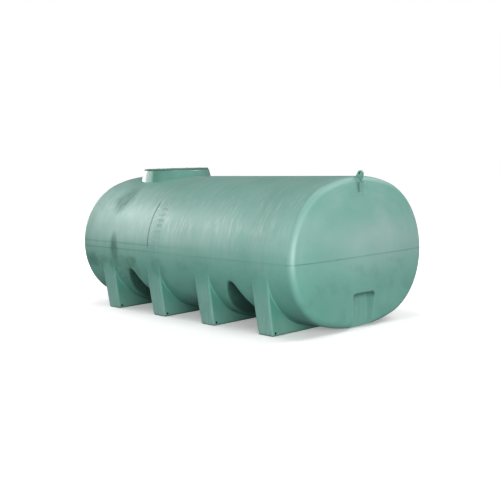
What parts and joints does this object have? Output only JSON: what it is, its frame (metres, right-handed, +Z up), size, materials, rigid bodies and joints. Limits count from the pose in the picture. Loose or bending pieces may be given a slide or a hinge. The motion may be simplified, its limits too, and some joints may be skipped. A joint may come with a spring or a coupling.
{
  "type": "liquid fertilizer tank",
  "caption": "Horizontal oval polyethylene tank with dished ends, moulded saddle feet, strap tunnels, lidded crown manway, lifting lugs and a flat outlet recess, for storing liquid fertilizer.",
  "frame": {"origin": "floor level under the middle of the tank", "axes": "+X along the tank towards the outlet recess, +Z up, the level scale on the -Y side"},
  "size_m": [2.946, 1.626, 1.318],
  "materials": {
    "tank_shell": "satin moulded",
    "saddle": "satin moulded",
    "lid": "satin moulded",
    "vent": "satin moulded",
    "seal": "matte",
    "scale_marks": "satin moulded"
  },
  "bodies": {
    "root": {"barrel_upper_shell": "tank_shell", "belly_left": "tank_shell", "belly_left_tunnel": "tank_shell", "belly_middle": "tank_shell", "belly_right_tunnel": "tank_shell", "belly_right": "tank_shell", "left_end_upper": "tank_shell", "left_end_lower": "tank_shell", "right_end_upper": "tank_shell", "right_end_lower": "tank_shell", "tunnel_left": "tank_shell", "tunnel_right": "tank_shell", "outlet_recess": "tank_shell", "parting_bead": "tank_shell", "manway_neck": "tank_shell", "lifting_lug_left": "tank_shell", "lifting_lug_right": "tank_shell", "saddle_left_outer": "saddle", "saddle_left_inner": "saddle", "saddle_right_inner": "saddle", "saddle_right_outer": "saddle", "manway_lid": "lid", "lid_vent_cap": "vent", "lid_seal": "seal", "level_marks": "scale_marks"}
  },
  "joints": []
}
